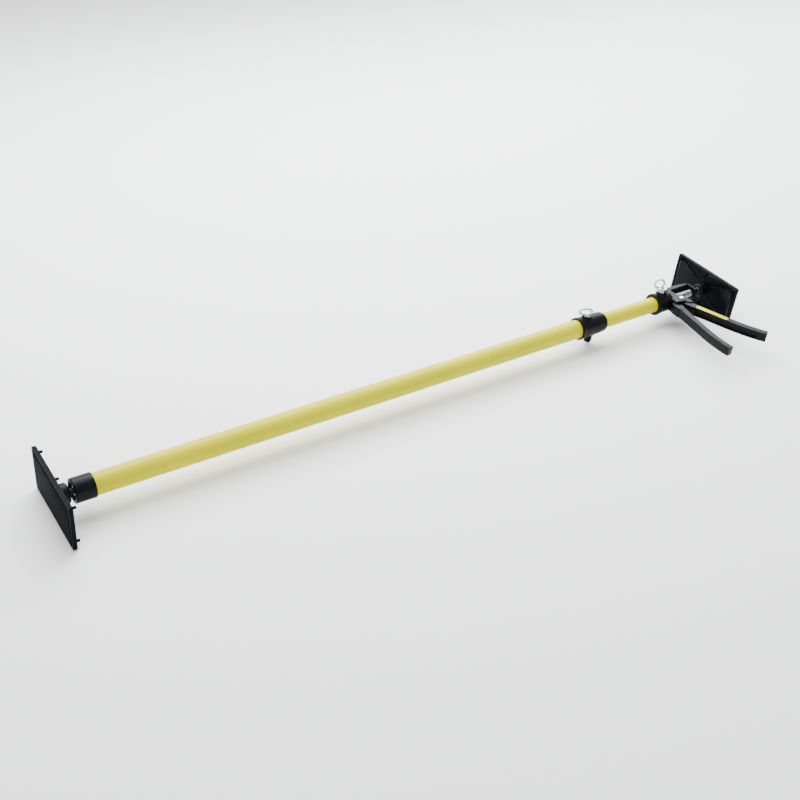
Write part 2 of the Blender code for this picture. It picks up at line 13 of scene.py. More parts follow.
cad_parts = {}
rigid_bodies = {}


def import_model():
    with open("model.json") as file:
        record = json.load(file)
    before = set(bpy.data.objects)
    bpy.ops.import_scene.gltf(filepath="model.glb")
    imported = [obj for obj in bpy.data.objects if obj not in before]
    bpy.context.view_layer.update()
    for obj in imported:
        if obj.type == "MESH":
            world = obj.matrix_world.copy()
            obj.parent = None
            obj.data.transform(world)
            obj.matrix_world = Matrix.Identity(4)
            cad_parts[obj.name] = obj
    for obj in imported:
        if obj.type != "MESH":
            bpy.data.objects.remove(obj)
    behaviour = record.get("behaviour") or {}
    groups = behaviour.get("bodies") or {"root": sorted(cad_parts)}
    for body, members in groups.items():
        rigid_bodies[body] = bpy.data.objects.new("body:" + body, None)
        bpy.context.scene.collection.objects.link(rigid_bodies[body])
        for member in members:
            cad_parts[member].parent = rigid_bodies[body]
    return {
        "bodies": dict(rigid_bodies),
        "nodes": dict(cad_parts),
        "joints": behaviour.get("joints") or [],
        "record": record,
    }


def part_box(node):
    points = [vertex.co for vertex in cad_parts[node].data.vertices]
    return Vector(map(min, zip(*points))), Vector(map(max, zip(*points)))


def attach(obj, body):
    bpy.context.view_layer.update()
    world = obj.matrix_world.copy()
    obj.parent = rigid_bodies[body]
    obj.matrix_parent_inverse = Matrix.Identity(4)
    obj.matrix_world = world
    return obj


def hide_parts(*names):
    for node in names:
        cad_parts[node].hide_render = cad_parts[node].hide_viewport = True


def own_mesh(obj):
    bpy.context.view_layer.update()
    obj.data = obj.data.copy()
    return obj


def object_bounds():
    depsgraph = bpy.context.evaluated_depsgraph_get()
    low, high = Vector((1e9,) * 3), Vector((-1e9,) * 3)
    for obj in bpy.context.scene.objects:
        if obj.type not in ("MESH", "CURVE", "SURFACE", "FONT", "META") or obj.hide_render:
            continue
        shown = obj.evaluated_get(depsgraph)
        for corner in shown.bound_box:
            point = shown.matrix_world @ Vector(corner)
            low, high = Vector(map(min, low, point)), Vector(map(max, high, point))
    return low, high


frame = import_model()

CAD_BOUNDS = [[float(value) for value in corner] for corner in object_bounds()]
MM = 0.001

# Sizes shared with the CAD
OUTER_R, INNER_R, TUBE_WALL, ROD_R = 15.0, 12.5, 1.1, 4.0
GAP = 0.3                       # clearance between pieces that touch
SCREW_R, INSERT_R, PIN_R = 3.0, 4.6, 2.5
FOOT_BALL_R, FOOT_BALL_X, FOOT_NECK_R, FOOT_HUB_R = 8.0, 17.0, 4.0, 14.0
TOP_BALL_R, TOP_BALL_X, TOP_NECK_R, TOP_HUB_R = 6.5, 15.8, 3.2, 11.2
FLANGE_R = 18.0                 # raised ring of the collar and of the housing's sleeve
WEB_END = 1045.4                # front face of the housing's web, where the spring bay starts
SLEEVE_PLAY = 0.4               # between the inner tube's end and the web
BUSH_FLANGE = 1.2               # how far the rod's guide bush stands out of the nose


def span(node):
    """Lowest and highest corner of a CAD node, in millimetres."""
    low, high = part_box(node)
    return Vector(low) / MM, Vector(high) / MM


# Places read from the frame
FLOOR_Z = min(corner[2] for corner in CAD_BOUNDS)
TOTAL = span("top_pad")[1].x
PLATE_Y = span("foot_plate")[1].y
PLATE_Z = span("foot_plate")[1].z
PIN_LOW, PIN_HIGH = span("trigger_pin")
PIVOT_X, PIVOT_Y = (PIN_LOW.x + PIN_HIGH.x) / 2, (PIN_LOW.y + PIN_HIGH.y) / 2
COLLAR_START, COLLAR_END = span("collar_body")[0].x, span("collar_body")[1].x
COLLAR_SCREW_X = (span("collar_insert")[0].x + span("collar_insert")[1].x) / 2
COLLAR_BOSS_X = (span("collar_fixing_screw")[0].x + span("collar_fixing_screw")[1].x) / 2
SLEEVE_START, NOSE_END = span("housing")[0].x, span("housing")[1].x
HOUSING_SCREW_X = (span("housing_insert")[0].x + span("housing_insert")[1].x) / 2
COLLAR_STEP_X = round(span("outer_tube")[1].x + GAP, 2)
SLEEVE_STEP_X = round(span("inner_tube")[1].x + SLEEVE_PLAY, 2)
NOSE_START = round(span("rod_guide_bush")[0].x + BUSH_FLANGE, 2)


# Materials ---------------------------------------------------------------------------------------

def new_material(name, roughness, metallic=0.0, **sockets):
    """Principled material; a keyword such as Coat_Weight sets the socket of that name."""
    made = bpy.data.materials.new(name)
    made.use_nodes = True
    shader = made.node_tree.nodes["Principled BSDF"]
    shader.inputs["Roughness"].default_value = roughness
    shader.inputs["Metallic"].default_value = metallic
    for socket, value in sockets.items():
        shader.inputs[socket.replace("_", " ")].default_value = value
    return made, made.node_tree, shader


def stretched(tree, scale):
    """Object coordinates, scaled along each axis."""
    place = tree.nodes.new("ShaderNodeTexCoord")
    mapping = tree.nodes.new("ShaderNodeMapping")
    mapping.inputs["Scale"].default_value = scale
    tree.links.new(place.outputs["Object"], mapping.inputs["Vector"])
    return mapping.outputs["Vector"]


def noise(tree, scale, detail=3.0, stretch=(1, 1, 1)):
    node = tree.nodes.new("ShaderNodeTexNoise")
    node.inputs["Scale"].default_value = scale
    node.inputs["Detail"].default_value = detail
    tree.links.new(stretched(tree, stretch), node.inputs["Vector"])
    return node.outputs["Fac"]


def cells(tree, scale, stretch=(1, 1, 1)):
    node = tree.nodes.new("ShaderNodeTexVoronoi")
    node.inputs["Scale"].default_value = scale
    tree.links.new(stretched(tree, stretch), node.inputs["Vector"])
    return node.outputs["Distance"]


def ramp(tree, value, stops):
    """Turns a value into a colour: each stop is (position, colour)."""
    node = tree.nodes.new("ShaderNodeValToRGB")
    elements = node.color_ramp.elements
    while len(elements) < len(stops):
        elements.new(0.5)
    for element, (position, colour) in zip(elements, stops):
        element.position = position
        element.color = (*colour, 1.0)
    tree.links.new(value, node.inputs["Fac"])
    return node.outputs["Color"]


def spread(tree, value, low, high):
    """Maps a value from 0 to 1 onto low to high."""
    node = tree.nodes.new("ShaderNodeMapRange")
    node.inputs["To Min"].default_value = low
    node.inputs["To Max"].default_value = high
    tree.links.new(value, node.inputs["Value"])
    return node.outputs["Result"]


def bumps(tree, shader, *layers):
    """Stacks bump layers: each is (height output, strength, depth in metres)."""
    normal = None
    for height, strength, depth in layers:
        node = tree.nodes.new("ShaderNodeBump")
        node.inputs["Strength"].default_value = strength
        node.inputs["Distance"].default_value = depth
        tree.links.new(height, node.inputs["Height"])
        if normal:
            tree.links.new(normal, node.inputs["Normal"])
        normal = node.outputs["Normal"]
    tree.links.new(normal, shader.inputs["Normal"])


def scuffs_and_edge_highlight(tree, body_colour, scuff_and_highlight_colour, amount):
    """Mixes a lighter colour in: short scuffs from a noise, and a painted highlight along sharp convex edges
    (from pointiness) that stands in for light catching them.
    """
    mix = tree.nodes.new("ShaderNodeMix")
    mix.data_type = "RGBA"
    edge = tree.nodes.new("ShaderNodeNewGeometry")
    # painted highlight: convex edges are lightened as if light caught them
    edge_highlight = ramp(tree, edge.outputs["Pointiness"], [(0.54, (0, 0, 0)), (0.64, (1, 1, 1))])
    # short scuff marks from a noise: wear
    marks = ramp(tree, noise(tree, 160, 6.0, (1, 3, 3)), [(0.60, (0, 0, 0)), (0.74, (1, 1, 1))])
    join = tree.nodes.new("ShaderNodeMath")
    join.operation = "MULTIPLY_ADD"
    tree.links.new(edge_highlight, join.inputs[0])
    join.inputs[1].default_value = amount
    faint = spread(tree, marks, 0.0, amount * 0.35)
    tree.links.new(faint, join.inputs[2])
    tree.links.new(join.outputs["Value"], mix.inputs["Factor"])
    tree.links.new(body_colour, mix.inputs["A"])
    mix.inputs["B"].default_value = (*scuff_and_highlight_colour, 1.0)
    return mix.outputs["Result"]


def yellow_paint():
    made, tree, shader = new_material("yellow_paint", 0.3, Specular_IOR_Level=0.08, Coat_Weight=0.10,
                                      Coat_Roughness=0.15)
    base = ramp(tree, noise(tree, 9, 2.0), [(0.3, (0.54, 0.50, 0.0)), (0.7, (0.59, 0.545, 0.0))])
    # paler yellow on convex edges is a painted edge highlight; the noise marks are scuffs
    colour = scuffs_and_edge_highlight(tree, base, (0.62, 0.58, 0.03), 0.15)
    tree.links.new(colour, shader.inputs["Base Color"])
    tree.links.new(spread(tree, noise(tree, 60, 4.0), 0.24, 0.36), shader.inputs["Roughness"])
    bumps(tree, shader, (noise(tree, 650, 2.0), 0.10, 0.0002), (noise(tree, 70, 2.0), 0.04, 0.0006))
    return made


def black_plastic(name, gloss):
    """Finely grained moulding; its gloss is the specular level."""
    made, tree, shader = new_material(name, 0.4, Specular_IOR_Level=gloss)
    base = ramp(tree, noise(tree, 40, 4.0),
                [(0.3, (0.0010, 0.0014, 0.0024)), (0.7, (0.0018, 0.0025, 0.0040))])
    # blue-grey on convex edges is a painted edge highlight; the noise marks are scuffs
    colour = scuffs_and_edge_highlight(tree, base, (0.060, 0.078, 0.098), 0.55)
    tree.links.new(colour, shader.inputs["Base Color"])
    tree.links.new(spread(tree, noise(tree, 110, 4.0), 0.33, 0.50), shader.inputs["Roughness"])
    bumps(tree, shader, (cells(tree, 1500), 0.22, 0.0001), (noise(tree, 260, 3.0), 0.10, 0.0002))
    return made


def rubber():
    """Matt rubber with a short grain that runs along Z."""
    made, tree, shader = new_material("rubber", 0.85, Specular_IOR_Level=0.04)
    base = ramp(tree, noise(tree, 220, 6.0, (1, 1, 0.35)),
                [(0.30, (0.0012, 0.0012, 0.0016)), (0.55, (0.0032, 0.0032, 0.0040)),
                 (0.8, (0.011, 0.011, 0.012))])
    tree.links.new(base, shader.inputs["Base Color"])
    tree.links.new(spread(tree, noise(tree, 400, 3.0), 0.72, 0.95), shader.inputs["Roughness"])
    bumps(tree, shader, (cells(tree, 700), 0.5, 0.0004), (noise(tree, 1300, 3.0), 0.3, 0.0002))
    return made


def bright_metal(name, low, high, rough, stretch=(1, 1, 1)):
    """Metal between two tones; a small stretch along one axis draws the grain out along it."""
    made, tree, shader = new_material(name, rough, 1.0)
    base = ramp(tree, noise(tree, 55, 4.0, stretch), [(0.3, low), (0.7, high)])
    tree.links.new(base, shader.inputs["Base Color"])
    fine = noise(tree, 900, 3.0, stretch)
    tree.links.new(spread(tree, fine, rough - 0.07, rough + 0.08), shader.inputs["Roughness"])
    bumps(tree, shader, (fine, 0.12, 0.0001), (noise(tree, 180, 2.0, stretch), 0.10, 0.0002))
    return made


def nylon():
    made, tree, shader = new_material("nylon", 0.45, Subsurface_Weight=0.1)
    shader.inputs["Subsurface Radius"].default_value = (0.002, 0.002, 0.0015)
    base = ramp(tree, noise(tree, 70, 3.0), [(0.3, (0.66, 0.64, 0.57)), (0.7, (0.74, 0.72, 0.66))])
    tree.links.new(base, shader.inputs["Base Color"])
    bumps(tree, shader, (noise(tree, 500, 3.0), 0.1, 0.0002))
    return made


def yellow_inlay():
    made, tree, shader = new_material("yellow_inlay", 0.35, Specular_IOR_Level=0.08, Coat_Weight=0.05)
    base = ramp(tree, noise(tree, 120, 3.0), [(0.3, (0.56, 0.54, 0.0)), (0.7, (0.62, 0.60, 0.005))])
    tree.links.new(base, shader.inputs["Base Color"])
    bumps(tree, shader, (noise(tree, 900, 2.0), 0.08, 0.0001))
    return made


LOOKS = {
    "yellow_paint": yellow_paint(),
    "black_plastic": black_plastic("black_plastic", 0.11),
    "plate_plastic": black_plastic("plate_plastic", 0.03),
    "rubber": rubber(),
    "zinc": bright_metal("zinc", (0.24, 0.28, 0.30), (0.52, 0.57, 0.59), 0.24),
    "steel": bright_metal("steel", (0.52, 0.53, 0.55), (0.66, 0.67, 0.68), 0.27, (0.03, 1, 1)),
    "black_steel": bright_metal("black_steel", (0.020, 0.021, 0.024), (0.045, 0.046, 0.050), 0.36),
    "brass": bright_metal("brass", (0.62, 0.45, 0.17), (0.76, 0.58, 0.26), 0.28),
    "nylon": nylon(),
    "yellow_inlay": yellow_inlay(),
}


# Shapes, as bmeshes in millimetres ---------------------------------------------------------------

AXIS_TURN = {
    "X": Matrix.Identity(4),
    "Z": Matrix.Rotation(radians(-90), 4, "Y"),
}


def rounded(outline, steps=4, closed=True):
    """Rounds an outline's corners. Each point is (a, b) or (a, b, radius): the radius falls away to fit."""
    result = []
    count = len(outline)
    for index, point in enumerate(outline):
        here = Vector(point[:2])
        radius = point[2] if len(point) > 2 else 0.0
        if not radius or (not closed and index in (0, count - 1)):
            result.append(tuple(here))
            continue
        before = Vector(outline[index - 1][:2]) - here
        after = Vector(outline[(index + 1) % count][:2]) - here
        if before.length < 1e-6 or after.length < 1e-6:
            result.append(tuple(here))
            continue
        angle = before.angle(after)
        reach = min(radius / max(tan(angle / 2), 0.05), before.length * 0.48, after.length * 0.48)
        first, last = here + before.normalized() * reach, here + after.normalized() * reach
        for step in range(steps + 1):
            part = step / steps
            curve = (1 - part) ** 2 * first + 2 * part * (1 - part) * here + part ** 2 * last
            result.append(tuple(curve))
    return result


def turned(outline, axis="X", centre=(0, 0, 0), sides=96, round_steps=4):
    """Solid of revolution. The outline is (along, radius[, corner radius]): closed, or open on the axis."""
    closed = outline[0][1] > 0 or outline[-1][1] > 0
    points = rounded(outline, round_steps, closed)
    bm = bmesh.new()
    rings = []
    for along, radius in points:
        if radius < 1e-6:
            rings.append([bm.verts.new((along, 0, 0))])
            continue
        ring = []
        for side in range(sides):
            angle = 2 * pi * side / sides
            ring.append(bm.verts.new((along, radius * cos(angle), radius * sin(angle))))
        rings.append(ring)
    pairs = list(zip(rings, rings[1:]))
    if closed:
        pairs.append((rings[-1], rings[0]))
    for lower, upper in pairs:
        for side in range(sides):
            following = (side + 1) % sides
            corners = [lower[side % len(lower)], lower[following % len(lower)],
                       upper[following % len(upper)], upper[side % len(upper)]]
            corners = list(dict.fromkeys(corners))
            if len(corners) > 2:
                bm.faces.new(corners)
    bm.transform(Matrix.Translation(centre) @ AXIS_TURN[axis])
    return bm


def bar(start, end, radius, axis="X", centre=(0, 0, 0), sides=40, corner=0.0):
    """Round bar along an axis."""
    return turned([(start, 0), (start, radius, corner), (end, radius, corner), (end, 0)], axis, centre, sides)


def block(low, high):
    """Box between two corners."""
    bm = bmesh.new()
    bmesh.ops.create_cube(bm, size=1)
    size = Vector(high) - Vector(low)
    bm.transform(Matrix.Translation((Vector(high) + Vector(low)) / 2) @ Matrix.Diagonal((*size, 1)))
    return bm


def extruded(outline, low_z, high_z):
    """Prism along Z from an outline of (x, y) points."""
    bm = bmesh.new()
    face = bm.faces.new([bm.verts.new((x, y, low_z)) for x, y in outline])
    lifted = bmesh.ops.extrude_face_region(bm, geom=[face])
    verts = [item for item in lifted["geom"] if isinstance(item, bmesh.types.BMVert)]
    bmesh.ops.translate(bm, verts=verts, vec=(0, 0, high_z - low_z))
    return bm


def stacked(sections, steps=6):
    """Solid through rounded rectangles along X: each section is (x, half_y, half_z, corner radius)."""
    bm = bmesh.new()
    rings = []
    for x, half_y, half_z, radius in sections:
        ring = []
        for corner, (sign_y, sign_z) in enumerate(((1, 1), (-1, 1), (-1, -1), (1, -1))):
            for step in range(steps + 1):
                angle = (corner + step / steps) * pi / 2
                ring.append(bm.verts.new((x, sign_y * (half_y - radius) + radius * cos(angle),
                                          sign_z * (half_z - radius) + radius * sin(angle))))
        rings.append(ring)
    count = len(rings[0])
    for lower, upper in zip(rings, rings[1:]):
        for index in range(count):
            following = (index + 1) % count
            bm.faces.new((lower[index], lower[following], upper[following], upper[index]))
    bm.faces.new(rings[0])
    bm.faces.new(rings[-1])
    return bm


def swept(path, normals, radius, sides, closed, flat=1.0):
    """Wire along a path; flat squeezes it along its normal."""
    bm = bmesh.new()
    rings = []
    for index, (point, normal) in enumerate(zip(path, normals)):
        before = path[index - 1] if index or closed else point
        after = path[(index + 1) % len(path)] if closed or index < len(path) - 1 else point
        forward = (after - before).normalized()
        side = forward.cross(normal).normalized()
        square = side.cross(forward)
        ring = []
        for turn in range(sides):
            angle = 2 * pi * turn / sides
            ring.append(bm.verts.new(point + radius * (flat * cos(angle) * square + sin(angle) * side)))
        rings.append(ring)
    pairs = list(zip(rings, rings[1:]))
    if closed:
        pairs.append((rings[-1], rings[0]))
    for lower, upper in pairs:
        for index in range(sides):
            following = (index + 1) % sides
            bm.faces.new((lower[index], lower[following], upper[following], upper[index]))
    if not closed:
        bm.faces.new(rings[0])
        bm.faces.new(rings[-1])
    return bm


def hexagon(across_flats):
    """Corners of a hexagon about the origin."""
    corner = across_flats / sqrt(3)
    return [(corner * cos(k * pi / 3), corner * sin(k * pi / 3)) for k in range(6)]


# Objects -----------------------------------------------------------------------------------------

def raw_object(name, bm):
    """Makes an object from a bmesh in millimetres, and frees the bmesh."""
    bmesh.ops.recalc_face_normals(bm, faces=bm.faces)
    bm.transform(Matrix.Scale(MM, 4))
    mesh = bpy.data.meshes.new(name)
    bm.to_mesh(mesh)
    bm.free()
    obj = bpy.data.objects.new(name, mesh)
    bpy.context.scene.collection.objects.link(obj)
    return obj


def apply_modifiers(obj):
    depsgraph = bpy.context.evaluated_depsgraph_get()
    depsgraph.update()
    mesh = bpy.data.meshes.new_from_object(obj.evaluated_get(depsgraph))
    obj.modifiers.clear()
    old, obj.data = obj.data, mesh
    bpy.data.meshes.remove(old)
    return obj


def combined(name, solids, cuts=()):
    """Boolean union of the first solids, less the cuts."""
    body = raw_object(name, solids[0])
    others = []
    for operation, shapes in (("UNION", solids[1:]), ("DIFFERENCE", cuts)):
        for bm in shapes:
            other = raw_object(f"{name}_other", bm)
            others.append(other)
            change = body.modifiers.new("cut", "BOOLEAN")
            change.operation = operation
            change.solver = "EXACT"
            change.object = other
    apply_modifiers(body)
    for other in others:
        bpy.data.objects.remove(other, do_unlink=True)
    return body


def moulded(obj, voxel, smoothing):
    """Gives a sharp solid the soft edges and fillets of a moulding."""
    change = obj.modifiers.new("remesh", "REMESH")
    change.mode = "VOXEL"
    change.voxel_size = voxel * MM
    change.use_smooth_shade = True
    change = obj.modifiers.new("smooth", "SMOOTH")
    change.factor = 0.5
    change.iterations = smoothing
    return apply_modifiers(obj)


def beveled(obj, width, segments=3, angle=35):
    """Rounds the edges that are sharper than the angle."""
    change = obj.modifiers.new("bevel", "BEVEL")
    change.width = width * MM
    change.segments = segments
    change.limit_method = "ANGLE"
    change.angle_limit = radians(angle)
    return apply_modifiers(obj)


def finish_piece(obj, slot, body, *nodes, sharp=40, look=None):
    """Shades and colours a piece, lets it ride on its body and stand for its CAD nodes."""
    obj.data.materials.clear()
    obj.data.materials.append(LOOKS[look or slot])
    obj.data.shade_smooth()
    if sharp:
        obj.data.set_sharp_from_angle(angle=radians(sharp))
    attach(obj, body)
    if nodes:
        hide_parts(*nodes)
    return obj


# Swivel plates -----------------------------------------------------------------------------------

PAD_THICK, PLATE_FRONT, PLATE_BACK, PLATE_RIM, PLATE_TOP = 3.0, 1.0, 6.5, 3.4, 9.0
PEG_R, PEG_END = 1.9, 12.5
PEG_PLACES = [(y, z) for y in (-58.0, 0.0, 58.0) for z in (-27.0, 27.0)]


def at_end(bm, end):
    """Moves a piece made with its pad face at x = 0 to the pole's foot or, turned round, to its top."""
    if end == "top":
        bm.transform(Matrix.Translation((TOTAL, 0, 0)) @ Matrix.Diagonal((-1, 1, 1, 1)))
    return bm


def swivel_plate(end, ball_r, ball_x, hub_r):
    """Ribbed plate, its rubber pad with pegs through the plate, and the socket ring that holds the ball."""
    recess_y, recess_z = PLATE_Y - PLATE_RIM, PLATE_Z - PLATE_RIM
    plate = stacked([
        (PAD_THICK + GAP, recess_y, recess_z, 1.5), (PLATE_FRONT, recess_y, recess_z, 1.5),
        (PLATE_FRONT, PLATE_Y, PLATE_Z, 2.5), (PLATE_BACK, PLATE_Y, PLATE_Z, 2.5),
        (PLATE_BACK, PLATE_Y - 2.4, PLATE_Z - 2.4, 2.0),
        (PLATE_BACK - 1.2, PLATE_Y - 2.6, PLATE_Z - 2.6, 2.0),
        (PLATE_TOP, hub_r + 1.5, hub_r + 1.5, 2.0),
    ])
    ribs = []
    run_y, run_z = PLATE_Y - 3.0 - hub_r, PLATE_Z - 3.0 - hub_r
    for sign_y in (-1, 1):
        for sign_z in (-1, 1):
            rib = block((PLATE_BACK - 2.4, 0, -0.8), (PLATE_BACK + 0.4, hypot(run_y, run_z), 0.8))
            for vert in rib.verts:
                if vert.co.y < 1:
                    vert.co.x += PLATE_TOP - PLATE_BACK + 0.5
            lean = Vector((0, sign_y * run_y, sign_z * run_z)).normalized()
            turn = Matrix(((1, 0, 0, 0), (0, lean.y, -lean.z, 0), (0, lean.z, lean.y, 0), (0, 0, 0, 1)))
            rib.transform(Matrix.Translation((0, sign_y * hub_r, sign_z * hub_r)) @ turn)
            ribs.append(at_end(rib, end))
    holes = [at_end(bar(0.5, 14, PEG_R + GAP, centre=(0, y, z), sides=20), end) for y, z in PEG_PLACES]
    body = combined(f"{end}_plate_moulding", [at_end(plate, end)] + ribs, holes)
    finish_piece(beveled(body, 0.45), "black_plastic", end, f"{end}_plate", look="plate_plastic")

    pad = stacked([
        (0.0, recess_y - 0.9, recess_z - 0.9, 1.2), (0.25, recess_y - 0.5, recess_z - 0.5, 1.4),
        (0.8, recess_y - GAP, recess_z - GAP, 1.5), (PAD_THICK, recess_y - GAP, recess_z - GAP, 1.5),
    ])
    pegs = [at_end(bar(PAD_THICK - 1, PEG_END, PEG_R, centre=(0, y, z), sides=24, corner=0.7), end)
            for y, z in PEG_PLACES]
    body = combined(f"{end}_pad_rubber", [at_end(pad, end)] + pegs)
    finish_piece(body, "rubber", end, f"{end}_pad")

    cavity, start, lip = ball_r + 0.2, PLATE_TOP + GAP, 0.375 * ball_r
    first, last = acos((ball_x - start) / cavity), pi - acos(lip / cavity)
    bowl = []
    for step in range(13):
        angle = first + (last - first) * step / 12
        bowl.append((ball_x - cavity * cos(angle), cavity * sin(angle)))
    end_x = ball_x + lip + 1.5
    ring = bowl + [
        (end_x, bowl[-1][1] + 1.8, 0.3), (end_x, hub_r - 2.0, 0.6), (end_x - 2.0, hub_r, 0.8),
        (start + 2.2, hub_r, 0.3), (start + 1.8, hub_r - 0.5, 0.2), (start + 1.2, hub_r - 0.5, 0.2),
        (start + 0.9, hub_r, 0.3), (start, hub_r, 0.2),
    ]
    body = raw_object(f"{end}_socket_ring", at_end(turned(ring), end))
    finish_piece(body, "black_plastic", end, f"{end}_socket")


def ball_outline(ball_x, ball_r, neck_r):
    """Outline of a ball from its pole to where the neck leaves it."""
    last = pi - asin(neck_r / ball_r)
    return [(ball_x - ball_r * cos(last * k / 24), ball_r * sin(last * k / 24)) for k in range(25)]


def thread(start, end, radius, pitch=1.0, depth=0.35):
    """Outline of a threaded stretch: one ridge for each pitch."""
    points = []
    for turn in range(int((end - start) / pitch)):
        points += [(start + turn * pitch, radius - depth), (start + (turn + 0.5) * pitch, radius)]
    return points


def foot_stud():
    """Ball, neck, flange against the end cap, and the threaded shank inside it."""
    flange_start, flange_end, thread_end = 28.4, 30.0, 42.0
    stud = ball_outline(FOOT_BALL_X, FOOT_BALL_R, FOOT_NECK_R)
    stud += [(flange_start, FOOT_NECK_R, 0.5), (flange_start, 6.5, 0.4), (flange_end, 6.5, 0.4),
             (flange_end, 3.9)]
    stud += thread(30.4, thread_end, FOOT_NECK_R)
    stud += [(thread_end, 3.6, 0.3), (thread_end + 0.5, 3.2), (thread_end + 0.5, 0)]
    body = raw_object("foot_ball_and_neck", turned(stud, sides=64))
    finish_piece(body, "black_steel", "foot_swivel", "foot_ball_stud")


def foot_cap():
    """Cup over the end of the outer tube, with a dished face round the stud."""
    cap_start, cap_end = (value.x for value in span("foot_end_cap"))
    cap_r, bore_r, stud_hole_r = 16.7, OUTER_R + GAP, FOOT_NECK_R + GAP
    face, floor = 30.3, 34.4
    cap = [
        (face, stud_hole_r, 0.3), (face, 11.2, 1.0), (cap_start + 0.4, 12.6, 0.6), (cap_start, 13.4, 0.4),
        (cap_start, 16.0, 0.9), (cap_start + 1.2, cap_r, 0.9),
        (cap_end, cap_r, 0.9), (cap_end, bore_r, 0.3),
        (floor, bore_r, 0.2), (floor, stud_hole_r, 0.2),
    ]
    body = raw_object("foot_cap_moulding", turned(cap, sides=128))
    finish_piece(body, "black_plastic", "pole", "foot_end_cap")


def top_stud():
    """Ball and neck on a grooved ferrule, which is a cup over the end of the pump rod."""
    rod_face = TOTAL - span("pump_rod")[1].x - GAP
    ferrule_r, groove_r, bore_r = 6.2, 5.9, ROD_R + GAP
    stud = ball_outline(TOP_BALL_X, TOP_BALL_R, TOP_NECK_R)
    stud += [(24.0, TOP_NECK_R, 0.5), (24.6, 5.6, 0.4), (25.2, ferrule_r, 0.4), (26.4, ferrule_r, 0.2),
             (26.7, groove_r, 0.2), (27.3, groove_r, 0.2), (27.6, ferrule_r, 0.2), (30.2, ferrule_r, 0.5),
             (30.2, bore_r, 0.2), (rod_face, bore_r, 0.2), (rod_face, 0)]
    body = raw_object("top_ball_and_neck", at_end(turned(stud, sides=64), "top"))
    finish_piece(body, "black_steel", "top_swivel", "top_ball_stud")


# Tubes and collar --------------------------------------------------------------------------------

def tube(name, node, radius, slot, body):
    """Tube with softened ends, as long as its CAD node."""
    low, high = span(node)
    outline = [(low.x, radius - TUBE_WALL, 0.3), (low.x, radius, 0.35),
               (high.x, radius, 0.35), (high.x, radius - TUBE_WALL, 0.3)]
    finish_piece(raw_object(name, turned(outline, sides=160)), slot, body, node, sharp=50)


WING_TURN = -28                 # of both screws' loops about Z, in degrees
LOOP_R = 1.8                    # the round bar that a loop is bent from
LOOP_STEPS = 56


def wing_loop(x, loop_z, half_x, half_z, shift):
    """Oval loop of round bar that stands on a screw's head and may be shifted off its axis."""
    wing = Matrix.Rotation(radians(WING_TURN), 3, "Z")
    middle = Vector((x, 0, loop_z)) + wing @ Vector((-shift, 0, 0))
    path, normals = [], []
    for index in range(LOOP_STEPS):
        angle = 2 * pi * index / LOOP_STEPS
        path.append(middle + wing @ Vector((half_x * cos(angle), 0, half_z * sin(angle))))
        normals.append((wing @ Vector((cos(angle) / half_x, 0, sin(angle) / half_z))).normalized())
    return swept(path, normals, LOOP_R, 14, closed=True, flat=0.95)


def nut_head(place, base, base_r, base_top):
    """Six-sided head whose upper corners are turned down, and the neck on it."""
    head = extruded([(place[0] + px, py) for px, py in hexagon(base_r * 2)], base, base_top)
    dome = turned([(base - 1, 0), (base - 1, base_r * 1.6), (base_top - 2.5, base_r * 1.6),
                   (base_top, base_r * 0.86), (base_top, 0)], "Z", place, 64)
    keep = raw_object("head_limit", dome)
    head_object = raw_object("head", head)
    change = head_object.modifiers.new("limit", "BOOLEAN")
    change.operation = "INTERSECT"
    change.solver = "EXACT"
    change.object = keep
    apply_modifiers(head_object)
    bpy.data.objects.remove(keep, do_unlink=True)
    head = bmesh.new()
    head.from_mesh(head_object.data)
    head.transform(Matrix.Scale(1 / MM, 4))
    bpy.data.objects.remove(head_object, do_unlink=True)
    neck = turned([(base_top - 2, 0), (base_top - 2, 4.4), (base_top + 0.6, 3.6, 0.5),
                   (base_top + 1.0, 3.0, 0.3), (base_top + 1.0, 0)], "Z", place, 48)
    return head, neck


def round_head(place, base, base_r, base_top):
    """Low round head and the neck on it."""
    head = turned([(base, 0), (base, base_r, 0.5), (base_top - 0.3, base_r - 0.3, 0.6),
                   (base_top + 1.4, 2.6), (base_top + 1.4, 0)], "Z", place, 64)
    return head, bar(base_top - 0.6, base_top + 1.0, 2.4, "Z", place)


def wing_screw(name, node, body, x, tip, base, base_r, base_top, loop_z, half_x, half_z,
               shift=0.0, six_sided=False):
    """Clamp screw: a threaded shank, a head from base to base_top, and a loop centred at loop_z."""
    place = (x, 0, 0)
    root_r = SCREW_R - 0.2
    shank = [(tip, 0), (tip, 2.4, 0.3)] + thread(tip + 0.6, base, SCREW_R, 0.9, 0.3)
    shank += [(base, root_r), (base + 1, root_r), (base + 1, 0)]
    loop = wing_loop(x, loop_z, half_x, half_z, shift)
    make_head = nut_head if six_sided else round_head
    head, neck = make_head(place, base, base_r, base_top)
    upper = moulded(combined(f"{name}_wing", [head, neck, loop]), 0.32, 3)
    finish_piece(upper, "zinc", body, node, sharp=None)
    lower = raw_object(f"{name}_shank", turned(shank, "Z", place, 48))
    finish_piece(lower, "zinc", body)


